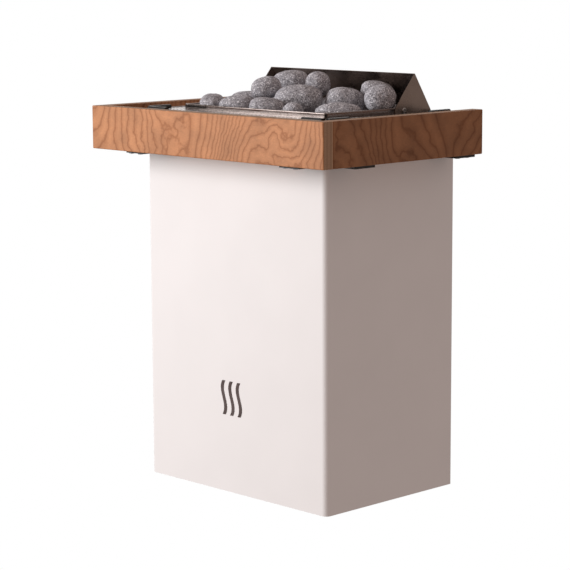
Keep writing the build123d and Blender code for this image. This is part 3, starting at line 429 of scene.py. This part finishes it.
class HEATER_OT_rail(bpy.types.Operator):
    """Gives the rail's boards their veneer and plies, and its straps, screws and dowels a finish"""

    bl_idname = "heater.rail"
    bl_label = "Safety rail"

    def execute(self, context):
        looks = context.scene.heater_rail
        # Each board is its own sheet, with its own tone and the axis that its plies lie across; the
        # side boards' darker tones are painted shade, the right one's most.
        boards = [("rail_front_board", "Y", 0.92), ("rail_left_board", "X", 0.7),
                  ("rail_right_board", "X", 0.56)]
        for seed, (name, across, tone) in enumerate(boards, start=1):
            low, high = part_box(name)
            axis = "XYZ".index(across)
            middle = (low[axis] + high[axis]) / 2
            wear(plywood(f"birch plywood {seed}", across, middle, seed, tone, looks), name)
        wear(beech(), "rail_dowels")
        # Fine-textured powder coat: a soft sheen broken up by its grain.
        strap = coated("black powder coat", linear("0C0A09"), linear("1B1817"), 0.42, 1.8,
                       relief=0.25)
        wear(strap, *[name for name in nodes if name.startswith("strap_")])
        wear(zinc("zinc-plated wood screw"), "rail_screws")
        return {"FINISHED"}


def zinc(name):
    """Bright zinc plate on steel: clear silver with a slight blue passivation."""
    return brushed(name, linear("C3C7CC"), 0.3, EVEN, grain=0.6, relief=0.05)


def grid_lines(start, stop, low, high, pitch):
    """Lines across a plate: its edges, and evenly spaced ones over a perforated stretch."""
    count = int((high - low) / pitch)
    first = (low + high - count * pitch) / 2
    return [start] + [first + pitch * index for index in range(count + 1)] + [stop]


def plate_cells(looks):
    """The perforated plate's flat face as cells round the mouth, each plain or to be perforated."""
    low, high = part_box("top_plate")
    collar_low, collar_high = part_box("stone_collar")
    collar_gap = 0.3 * MM
    least_share = 0.75   # of a pitch: a narrower cell has no hole
    mouth, lip = collar_high.x + collar_gap, collar_low.y - collar_gap
    edge = looks.border
    side = grid_lines(mouth, high.x, mouth + edge, high.x - edge, looks.pitch)
    middle = np.linspace(-mouth, mouth, int(2 * mouth / looks.pitch) + 1)
    across = [-x for x in reversed(side)] + list(middle[1:-1]) + side
    front = grid_lines(low.y, lip, low.y + edge, lip - edge, looks.pitch)
    back = np.linspace(lip, high.y, int((high.y - lip) / looks.pitch) + 1)
    deep = front + list(back[1:])
    cells = []
    for x0, x1 in zip(across, across[1:]):
        for y0, y1 in zip(deep, deep[1:]):
            centre = Vector(((x0 + x1) / 2, (y0 + y1) / 2, high.z))
            if abs(centre.x) < mouth and centre.y > lip:
                continue
            clear = min(high.x - abs(centre.x), centre.y - low.y, high.y - centre.y)
            if centre.y > lip:
                clear = min(clear, abs(centre.x) - mouth)
            holed = (clear > edge and (abs(centre.x) > mouth or centre.y < lip - edge)
                     and min(x1 - x0, y1 - y0) > least_share * looks.pitch)
            cells.append((centre, (x1 - x0, y1 - y0), holed))
    return cells


def perforation_tree(looks, thickness, material):
    """Geometry nodes that put a round hole in each marked cell and thicken the sheet."""
    tree = bpy.data.node_groups.new("perforated sheet", "GeometryNodeTree")
    face = tree.interface
    face.new_socket("Geometry", in_out="INPUT", socket_type="NodeSocketGeometry")
    for name, value in (("Hole", looks.hole), ("Pitch", looks.pitch), ("Thickness", thickness)):
        socket = face.new_socket(name, in_out="INPUT", socket_type="NodeSocketFloat")
        socket.default_value = value
    face.new_socket("Geometry", in_out="OUTPUT", socket_type="NodeSocketGeometry")
    given = add(tree, "NodeGroupInput")
    cell_size = add(tree, "GeometryNodeInputNamedAttribute", {"Name": "cell"},
                    data_type="FLOAT_VECTOR")
    marked = add(tree, "GeometryNodeInputNamedAttribute", {"Name": "holed"}, data_type="FLOAT")
    # A cell is drawn one unit wide, and each copy is scaled to its place.
    share = add(tree, "ShaderNodeMath", {0: given.outputs["Hole"], 1: given.outputs["Pitch"]},
                operation="DIVIDE")
    radius = add(tree, "ShaderNodeMath", {0: share, 1: 0.5}, operation="MULTIPLY")
    sides = 12   # enough for a hole that is a few millimetres wide
    ring = add(tree, "GeometryNodeCurvePrimitiveCircle", {"Resolution": sides, "Radius": radius})
    square = add(tree, "GeometryNodeCurvePrimitiveQuadrilateral", {"Width": 1.0, "Height": 1.0})
    plain = add(tree, "GeometryNodeFillCurve", {"Curve": square}, mode="NGONS")
    both = add(tree, "GeometryNodeJoinGeometry")
    for part in (ring, square):
        tree.links.new(part.outputs[0], both.inputs[0])
    holed = add(tree, "GeometryNodeFillCurve", {"Curve": both}, mode="TRIANGLES")
    sheet = add(tree, "GeometryNodeJoinGeometry")
    for shape, test in ((plain, "LESS_THAN"), (holed, "GREATER_THAN")):
        chosen = add(tree, "FunctionNodeCompare", {0: marked.outputs["Attribute"], 1: 0.5},
                     operation=test)
        laid = add(tree, "GeometryNodeInstanceOnPoints",
                   {"Points": given.outputs["Geometry"], "Instance": shape,
                    "Scale": cell_size.outputs["Attribute"], "Selection": chosen})
        tree.links.new(laid.outputs[0], sheet.inputs[0])
    real = add(tree, "GeometryNodeRealizeInstances", {"Geometry": sheet})
    welded = add(tree, "GeometryNodeMergeByDistance", {"Geometry": real, "Distance": WELD})
    thick = add(tree, "GeometryNodeExtrudeMesh",
                {"Mesh": welded, "Offset": (0, 0, -1), "Offset Scale": given.outputs["Thickness"],
                 "Individual": False})
    flipped = add(tree, "GeometryNodeFlipFaces", {"Mesh": thick})
    closed = add(tree, "GeometryNodeJoinGeometry")
    for part in (flipped, welded):
        tree.links.new(part.outputs[0], closed.inputs[0])
    sealed = add(tree, "GeometryNodeMergeByDistance", {"Geometry": closed, "Distance": WELD})
    final = add(tree, "GeometryNodeRealizeInstances", {"Geometry": sealed})
    coat = add(tree, "GeometryNodeSetMaterial", {"Geometry": final, "Material": material})
    add(tree, "NodeGroupOutput", {"Geometry": coat})
    return tree


def skirt(shape, outline, drop, sheet):
    """Folds an edge down along an outline: a strip of sheet, rounded outside and sharp inside."""
    fold_steps = 5
    section = [(sheet * (math.sin(turn) - 1), sheet * (math.cos(turn) - 1))
               for turn in np.linspace(0, math.pi / 2, fold_steps)]
    section += [(0, -drop), (-sheet, -drop), (-sheet, -sheet)]
    rows = []
    for x, y, normal in outline:
        rows.append([shape.verts.new((x + out * normal[0], y + out * normal[1], level))
                     for out, level in section])
    for here, there in zip(rows, rows[1:]):
        for index in range(len(section)):
            after = (index + 1) % len(section)
            shape.faces.new((here[index], there[index], there[after], here[after]))
    shape.faces.new(rows[0])
    shape.faces.new(list(reversed(rows[-1])))


def mesh_object(name, mesh):
    """Links a mesh into the scene as an object at the origin."""
    item = bpy.data.objects.new(name, mesh)
    bpy.context.scene.collection.objects.link(item)
    return item


PLATE_SHEET = 1 * MM   # thickness of the perforated plate, as in its CAD sheet


class HEATER_OT_plate(bpy.types.Operator):
    """Makes the perforated plate round the stones, in place of the plain CAD sheet"""

    bl_idname = "heater.plate"
    bl_label = "Perforated plate"

    def execute(self, context):
        looks = context.scene.heater_plate
        # Rolled stainless sheet: a plain soft gloss with no lines.
        sheet = brushed("perforated stainless sheet", linear("857D79"), 0.26, EVEN, grain=1.2,
                        relief=0.05)
        cells = plate_cells(looks)
        low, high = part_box("top_plate")
        points = bpy.data.meshes.new("plate cells")
        points.from_pydata([tuple(centre) for centre, _, _ in cells], [], [])
        size = points.attributes.new("cell", "FLOAT_VECTOR", "POINT")
        size.data.foreach_set("vector", [value for _, (wide, deep), _ in cells
                                         for value in (wide, deep, 1.0)])
        holed = points.attributes.new("holed", "FLOAT", "POINT")
        holed.data.foreach_set("value", [float(flag) for _, _, flag in cells])
        carrier = mesh_object("plate cells", points)
        tree = perforation_tree(looks, PLATE_SHEET, sheet)
        modifier = carrier.modifiers.new("perforation", "NODES")
        modifier.node_group = tree
        for socket in tree.interface.items_tree:
            if socket.in_out == "INPUT" and socket.name != "Geometry":
                modifier[socket.identifier] = socket.default_value
        context.view_layer.update()
        depsgraph = context.evaluated_depsgraph_get()
        flat = bpy.data.meshes.new_from_object(carrier.evaluated_get(depsgraph),
                                               depsgraph=depsgraph)
        bpy.data.objects.remove(carrier)
        shape = bmesh.new()
        shape.from_mesh(flat)
        outline = [(low.x, high.y, (-1, 0)), (low.x, low.y, (-1, -1)), (high.x, low.y, (1, -1)),
                   (high.x, high.y, (1, 0))]
        folded = bmesh.new()
        skirt(folded, outline, high.z - low.z, PLATE_SHEET)
        for vertex in folded.verts:
            vertex.co.z += high.z
            vertex.co.x = min(max(vertex.co.x, low.x), high.x)
            vertex.co.y = min(max(vertex.co.y, low.y), high.y)
        rim = bpy.data.meshes.new("plate rim")
        folded.to_mesh(rim)
        folded.free()
        shape.from_mesh(rim)
        bmesh.ops.recalc_face_normals(shape, faces=shape.faces)
        mesh = bpy.data.meshes.new("perforated plate")
        shape.to_mesh(mesh)
        shape.free()
        mesh.materials.append(sheet)
        plate = mesh_object("perforated_plate", mesh)
        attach(plate, "heater")
        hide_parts("top_plate")
        return {"FINISHED"}


class HEATER_OT_steel(bpy.types.Operator):
    """Brushes the collar, chamber and deflector, and polishes the rivets"""

    bl_idname = "heater.steel"
    bl_label = "Collar and deflector"

    def execute(self, context):
        # Finely brushed stainless steel: nearly a mirror, with faint level lines.
        collar = brushed("brushed stainless collar", linear("8F8581"), 0.14, LEVEL_LINES,
                         relief=0.03)
        wear(collar, "stone_collar", "stone_chamber", "stone_grate")
        # The deflector is more coarsely brushed, and shows the stones only as a dim blur.
        deflector = brushed("brushed stainless deflector", linear("9C8F86"), 0.27, CROSS_LINES,
                            relief=0.03)
        wear(deflector, "heat_deflector")
        rivet = brushed("stainless rivet", linear("C8C4C2"), 0.22, EVEN, grain=0.8)
        wear(rivet, "deflector_rivets")
        return {"FINISHED"}


ISLAND_WELD = 0.001 * MM   # under the least gap between two stones


def islands(mesh):
    """Corner points of each separate closed shape in a mesh of loose or joined triangles."""
    shape = bmesh.new()
    shape.from_mesh(mesh)
    bmesh.ops.remove_doubles(shape, verts=shape.verts, dist=ISLAND_WELD)
    seen = set()
    groups = []
    for start in shape.verts:
        if start in seen:
            continue
        seen.add(start)
        group, waiting = [], [start]
        while waiting:
            vertex = waiting.pop()
            group.append(vertex.co[:])
            for edge in vertex.link_edges:
                other = edge.other_vert(vertex)
                if other not in seen:
                    seen.add(other)
                    waiting.append(other)
        groups.append(np.array(group))
    shape.free()
    return groups


def ellipsoid_of(points):
    """Centre and the three half axes, as columns, of the ellipsoid that points lie on."""
    centre = (points.max(0) + points.min(0)) / 2
    local = points - centre
    x, y, z = local.T
    squares = np.column_stack([local ** 2, 2 * x * y, 2 * y * z, 2 * x * z])
    scale = squares.mean()
    xx, yy, zz, xy, yz, xz = np.linalg.lstsq(squares / scale, np.ones(len(local)),
                                             rcond=None)[0] / scale
    form = np.array([[xx, xy, xz], [xy, yy, yz], [xz, yz, zz]])
    values, axes = np.linalg.eigh(form)
    return centre, axes / np.sqrt(values)


STONE_FULLNESS = 2.4   # 2 is an ellipsoid; more fills its shoulders out
STONE_REST = 0.5       # how far a stone's level face lies inside, as a share of the dents
STONE_RELIEF = ((1.25, 1.0, 0.62), (2.9, 1.7, 0.30), (8.0, 2.3, 0.10), (22.0, 1.0, 0.05))
                       # broad flats to pits: waves, offset in the noise and depth of each
STONE_STEP = (7.31, 3.17, 1.73)   # from one stone's place in the noise to the next one's
STONE_LEVELS = 6       # subdivisions of a stone that shows
BURIED_LEVELS = {"stone_layer": 4, "stone_bedding": 5}   # fewer where the heap covers them


def pebble(shape, points, detail, dents, seed):
    """Adds one tumbled stone with full shoulders, soft flats and dents, on its CAD ellipsoid."""
    centre, axes = ellipsoid_of(points)
    ball = bmesh.ops.create_icosphere(shape, subdivisions=detail, radius=1.0)["verts"]
    away = Vector([seed * step for step in STONE_STEP])
    for vertex in ball:
        unit = vertex.co.normalized()
        fall = STONE_REST
        for waves, offset, depth in STONE_RELIEF:
            fall -= depth * noise.noise(unit * waves + away * offset)
        fullness = sum(abs(part) ** STONE_FULLNESS for part in unit) ** (-1 / STONE_FULLNESS)
        reach = fullness * (1 - max(dents * fall, 0.0))
        vertex.co = Vector(centre + axes @ np.array(unit * reach))
    if np.linalg.det(axes) < 0:   # left-handed axes have turned it inside out
        faces = {face for vertex in ball for face in vertex.link_faces}
        bmesh.ops.reverse_faces(shape, faces=list(faces))


class HEATER_OT_stones(bpy.types.Operator):
    """Makes tumbled stones in place of the plain CAD ellipsoids"""

    bl_idname = "heater.stones"
    bl_label = "Stones"

    def execute(self, context):
        looks = context.scene.heater_stones
        rock = olivine(looks)
        sheet_metal = {"stone_chamber", "stone_collar", "stone_grate"}
        seed = 1
        for name in sorted(node for node in nodes if node.startswith("stone_")):
            if name in sheet_metal:
                continue
            detail = next((levels for start, levels in BURIED_LEVELS.items()
                           if name.startswith(start)), STONE_LEVELS)
            shape = bmesh.new()
            for points in islands(nodes[name].data):
                pebble(shape, points, detail, looks.dents, seed)
                seed += 1
            mesh = bpy.data.meshes.new(name.replace("stone_", "rock_"))
            shape.to_mesh(mesh)
            shape.free()
            mesh.shade_smooth()
            mesh.materials.append(rock)
            piece = mesh_object(name.replace("stone_", "rock_"), mesh)
            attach(piece, nodes[name]["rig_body"])
            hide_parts(name)
        return {"FINISHED"}


class HEATER_OT_inside(bpy.types.Operator):
    """Finishes the back, the bracket, the elements and what is in the connection box"""

    bl_idname = "heater.inside"
    bl_label = "Back and inside"

    def execute(self, context):
        wear(galvanised(), "back_panel", "connection_box", "connection_cover", "inner_jacket",
             "wall_bracket")
        wear(brushed("plain stainless sheet", linear("BDB8B4"), 0.34, CROSS_LINES), "base_plate")
        wear(zinc("zinc-plated steel"), "back_screws", "cover_screws", "earth_nuts", "earth_stud",
             "element_nuts")
        # Alloy sheath that has been red hot: dark and scaly, with little shine left.
        sheath = coated("oxidised element sheath", linear("2B2523"), linear("4A403B"), 0.5, 2.5,
                        metal=0.8, relief=0.3)
        wear(sheath, "heating_element_1", "heating_element_2", "heating_element_3")
        # Pressed and fired ceramic: cream and slightly glossy.
        wear(coated("steatite ceramic", linear("D9D2C4"), linear("E8E3D8"), 0.35, 1.5),
             "terminal_block")
        wear(brushed("nickel-plated screw", linear("C9C3B4"), 0.3, EVEN, grain=0.6),
             "terminal_block_screws")
        # Extruded silicone rubber: brick red and matt.
        wear(coated("silicone insulation", linear("6B2A1E"), linear("7E3424"), 0.55, 1.2),
             "element_leads")
        # Injection-moulded polyamide: an even sheen over a fine spark-eroded grain.
        wear(coated("black polyamide", linear("151515"), linear("242424"), 0.5, 0.8),
             "gland_body", "gland_cap", "gland_locknut")
        wear(coated("grey polyamide", linear("77787A"), linear("8A8B8D"), 0.52, 0.8),
             "wall_spacers")
        return {"FINISHED"}


# ---------------------------------------------------------------- stage
def area_light(name, place, aim, size, power, colour):
    """A soft rectangular light at a place, turned to a point."""
    lamp = bpy.data.lights.new(name, "AREA")
    lamp.shape = "RECTANGLE"
    lamp.size, lamp.size_y = size
    lamp.energy = power
    lamp.color = colour
    item = bpy.data.objects.new(name, lamp)
    item.location = place
    item.rotation_euler = (Vector(aim) - Vector(place)).to_track_quat("-Z", "Y").to_euler()
    bpy.context.scene.collection.objects.link(item)


def glow(name, colour, strength):
    """Plain lit card for a backdrop."""
    material = bpy.data.materials.new(name)
    material.use_nodes = True
    tree = material.node_tree
    tree.nodes.clear()
    light = add(tree, "ShaderNodeEmission", {"Color": (*colour, 1), "Strength": strength})
    add(tree, "ShaderNodeOutputMaterial", {"Surface": light})
    return material


FLOOR_REACH = 30.0
CAMERA_PLACE = (2.2813, -2.4070, 0.3892)
CAMERA_TURN = (45.84, 8.97, -0.271)   # degrees: to the left, down, and level of the horizon
LENS, SENSOR = 128.9, 36.0            # millimetres


class HEATER_OT_stage(bpy.types.Operator):
    """Sets up the floor, the soft studio light, the pale surroundings and the camera"""

    bl_idname = "heater.stage"
    bl_label = "Stage"

    def execute(self, context):
        scene = context.scene
        looks = scene.heater_stage
        scene.view_settings.view_transform = "Standard"
        low, _ = frame_box

        world = bpy.data.worlds.new("studio")
        scene.world = world
        world.use_nodes = True
        tree = world.node_tree
        tree.nodes.clear()
        room = add(tree, "ShaderNodeBackground", {"Color": (*looks.fill, 1), "Strength": 1.0})
        white = add(tree, "ShaderNodeBackground", {"Color": (1, 1, 1, 1), "Strength": 1.0})
        seen = add(tree, "ShaderNodeLightPath").outputs["Is Camera Ray"]
        both = add(tree, "ShaderNodeMixShader", {0: seen, 1: room, 2: white})
        add(tree, "ShaderNodeOutputWorld", {"Surface": both})

        level = low.z - looks.floor_drop
        corners = [(x * FLOOR_REACH, y * FLOOR_REACH, level)
                   for x, y in ((-1, -1), (1, -1), (1, 1), (-1, 1))]
        floor_mesh = bpy.data.meshes.new("floor")
        floor_mesh.from_pydata(corners, [], [(0, 1, 2, 3)])
        floor = mesh_object("floor", floor_mesh)
        floor_mesh.materials.append(glow("pale floor", (1.0, 1.0, 1.0), 1.0))
        floor.visible_diffuse = False
        floor.visible_glossy = False

        area_light("key", place=(-1.7, -2.9, 0.9), aim=(0, -0.2, -0.1), size=(1.8, 1.8),
                   power=looks.key_power, colour=(0.985, 0.99, 1.0))
        area_light("rim", place=(-2.2, 2.4, 1.0), aim=(0, -0.1, 0.1), size=(3.0, 2.0),
                   power=30.0, colour=(1, 1, 1))

        yaw, pitch, roll = (math.radians(angle) for angle in CAMERA_TURN)
        view = Vector((-math.sin(yaw) * math.cos(pitch), math.cos(yaw) * math.cos(pitch),
                       -math.sin(pitch)))
        right = Vector((math.cos(yaw), math.sin(yaw), 0))
        up = right.cross(view)
        turned_right = math.cos(roll) * right + math.sin(roll) * up
        turned_up = -math.sin(roll) * right + math.cos(roll) * up
        lens = bpy.data.cameras.new("camera")
        lens.lens = LENS
        lens.sensor_width = SENSOR
        camera = bpy.data.objects.new("camera", lens)
        turn = Matrix((turned_right, turned_up, -view)).transposed()
        camera.matrix_world = Matrix.Translation(CAMERA_PLACE) @ turn.to_4x4()
        scene.collection.objects.link(camera)
        scene.camera = camera
        return {"FINISHED"}


STEPS = (HEATER_OT_casing, HEATER_OT_rail, HEATER_OT_plate, HEATER_OT_steel, HEATER_OT_stones,
         HEATER_OT_inside, HEATER_OT_stage)
SETTINGS = {"heater_casing": CasingLooks, "heater_rail": RailLooks, "heater_plate": PlateLooks,
            "heater_stones": StoneLooks, "heater_stage": StageLooks}


class HEATER_PT_looks(bpy.types.Panel):
    """Lists the heater's pieces and their settings."""

    bl_label = "Heater"
    bl_idname = "HEATER_PT_looks"
    bl_space_type = "VIEW_3D"
    bl_region_type = "UI"
    bl_category = "Heater"

    def draw(self, context):
        for name, group in SETTINGS.items():
            box = self.layout.box()
            for key in group.__annotations__:
                box.prop(getattr(context.scene, name), key)
        for step in STEPS:
            self.layout.operator(step.bl_idname)


def register():
    for group in SETTINGS.values():
        bpy.utils.register_class(group)
    for name, group in SETTINGS.items():
        setattr(bpy.types.Scene, name, bpy.props.PointerProperty(type=group))
    for item in (*STEPS, HEATER_PT_looks):
        bpy.utils.register_class(item)


def unregister():
    for item in (HEATER_PT_looks, *reversed(STEPS)):
        bpy.utils.unregister_class(item)
    for name, group in reversed(SETTINGS.items()):
        delattr(bpy.types.Scene, name)
        bpy.utils.unregister_class(group)


def main():
    register()
    for step in STEPS:
        group, name = step.bl_idname.split(".")
        getattr(getattr(bpy.ops, group), name)()


if __name__ == "__main__":
    main()
